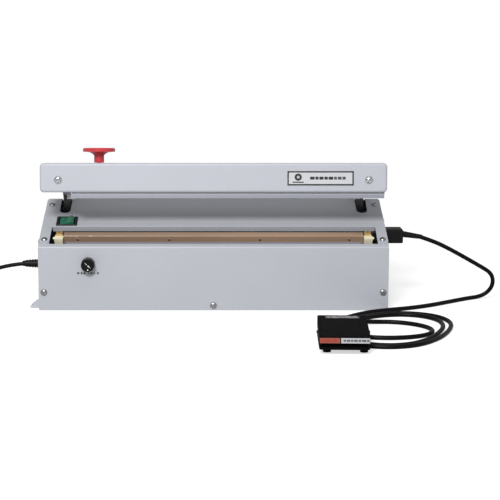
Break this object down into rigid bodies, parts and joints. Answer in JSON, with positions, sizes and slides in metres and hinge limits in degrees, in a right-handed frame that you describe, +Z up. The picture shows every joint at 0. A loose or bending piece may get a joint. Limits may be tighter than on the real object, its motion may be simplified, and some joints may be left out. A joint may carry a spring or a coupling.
{
  "type": "impulse heat sealer",
  "caption": "Tabletop impulse heat sealer with a motor-closed sealing arm, sliding film cutter, timer knob and foot switch on a coiled lead.",
  "frame": {"origin": "on the floor, in the middle of the housing's footprint", "axes": "+X to the right, +Y to the back, +Z up, with the sealing arm drawn open"},
  "size_m": [0.8362, 0.5066, 0.2242],
  "materials": {
    "housing_paint": "satin powder coat",
    "beam_paint": "satin powder coat",
    "arm_paint": "satin powder coat",
    "lug_paint": "satin powder coat",
    "galvanised": "zinc plated",
    "screw_steel": "bright zinc",
    "bolt_steel": "polished",
    "rail_alloy": "satin anodised",
    "element_foil": "foil",
    "ptfe_cloth": "coated glass cloth",
    "silicone": "matt",
    "terminal_cream": "moulded",
    "lever_brass": "turned",
    "shaft_steel": "ground",
    "plate_silver": "satin",
    "knob_red": "moulded",
    "carriage_black": "moulded",
    "blade_steel": "ground",
    "motor_steel": "plated",
    "core_steel": "laminated",
    "coil_tape": "taped winding",
    "board_green": "solder mask",
    "spring_steel": "drawn wire",
    "switch_black": "moulded",
    "rocker_green": "moulded",
    "knob_black": "moulded",
    "cable_black": "satin",
    "fitting_black": "moulded",
    "pedal_black": "satin",
    "pedal_rubber": "matt",
    "pin_steel": "plated",
    "microswitch_plastic": "moulded"
  },
  "bodies": {
    "housing": {"bar_carrier": "rail_alloy", "bar_screws": "screw_steel", "base_plate": "galvanised", "bench_lugs": "lug_paint", "coil_tie": "fitting_black", "control_board": "board_green", "cover_screws": "screw_steel", "footswitch_plug": "fitting_black", "footswitch_socket": "fitting_black", "front_cover": "housing_paint", "gearmotor": "motor_steel", "heating_element": "element_foil", "holding_magnet": "motor_steel", "magnet_bracket": "galvanised", "mains_coil": "cable_black", "mains_cord": "cable_black", "mains_gland": "fitting_black", "mains_plug": "fitting_black", "motor_bracket": "galvanised", "pedal_base": "pedal_black", "pedal_cord": "cable_black", "pedal_feet": "pedal_rubber", "pedal_microswitch": "microswitch_plastic", "pedal_pins": "pin_steel", "pivot_brackets": "galvanised", "pivot_shaft": "shaft_steel", "power_switch_frame": "switch_black", "ptfe_clamp_strips": "rail_alloy", "ptfe_cover": "ptfe_cloth", "rear_cover": "housing_paint", "return_springs": "spring_steel", "seal_bar": "rail_alloy", "side_panel_left": "housing_paint", "side_panel_right": "housing_paint", "terminal_blocks": "terminal_cream", "timer_potentiometer": "motor_steel", "top_cover": "housing_paint", "transformer_coil": "coil_tape", "transformer_core": "core_steel"},
    "sealing_arm": {"arm_left": "arm_paint", "arm_right": "arm_paint", "torque_tube": "shaft_steel", "pivot_bushes": "lever_brass", "drive_lever": "shaft_steel", "armature_plate": "shaft_steel", "beam_cover": "beam_paint", "upper_jaw": "rail_alloy", "silicone_strip": "silicone", "cutter_rail": "rail_alloy", "beam_bolts": "bolt_steel", "nameplate": "plate_silver"},
    "cutter": {"cutter_knob": "knob_red", "cutter_carriage": "carriage_black", "cutter_blade": "blade_steel"},
    "drive_crank": {"drive_crank": "shaft_steel"},
    "power_rocker": {"power_rocker": "rocker_green"},
    "timer_knob": {"timer_knob": "knob_black"},
    "pedal_treadle": {"pedal_treadle": "pedal_black"},
    "tension_lever_left": {"tension_lever_left": "lever_brass"},
    "tension_lever_right": {"tension_lever_right": "lever_brass"}
  },
  "joints": [
    {"name": "arm_close", "type": "hinge", "parent": "housing", "child": "sealing_arm", "pos_m": [0, 0.021, 0.103], "axis": [1, 0, 0], "range_deg": [0, 26], "stiffness_Nm_per_rad": 15, "springref_deg": -28.65, "deforming": ["return_springs"]},
    {"name": "crank_turn", "type": "hinge", "parent": "housing", "child": "drive_crank", "pos_m": [0, 0.021, 0.043], "axis": [-1, 0, 0], "range_deg": [0, 56.1]},
    {"name": "cutter_slide", "type": "slide", "parent": "sealing_arm", "child": "cutter", "axis": [1, 0, 0], "range_m": [0, 0.345]},
    {"name": "rocker_tilt", "type": "hinge", "parent": "housing", "child": "power_rocker", "pos_m": [-0.2085, -0.05168, 0.11212], "axis": [0, 0.9397, 0.342], "range_deg": [0, 16]},
    {"name": "timer_turn", "type": "hinge", "parent": "housing", "child": "timer_knob", "pos_m": [-0.1735, -0.12, 0.0658], "axis": [0, -1, 0], "range_deg": [-150, 150]},
    {"name": "treadle_press", "type": "hinge", "parent": "housing", "child": "pedal_treadle", "pos_m": [0.161, -0.34, 0.0195], "axis": [0.9993, -0.0366, 0], "range_deg": [0, 4], "stiffness_Nm_per_rad": 4, "springref_deg": -8.59},
    {"name": "tension_left", "type": "hinge", "parent": "housing", "child": "tension_lever_left", "pos_m": [-0.2163, -0.0866, 0.10016], "axis": [0, 0.9397, 0.342], "range_deg": [-5, 5], "stiffness_Nm_per_rad": 0.3},
    {"name": "tension_right", "type": "hinge", "parent": "housing", "child": "tension_lever_right", "pos_m": [0.2163, -0.0866, 0.10016], "axis": [0, 0.9397, 0.342], "range_deg": [-5, 5], "stiffness_Nm_per_rad": 0.3}
  ],
  "couplings": [
    {"joint": "crank_turn", "follows": "arm_close", "ratio": 2.1538}
  ]
}
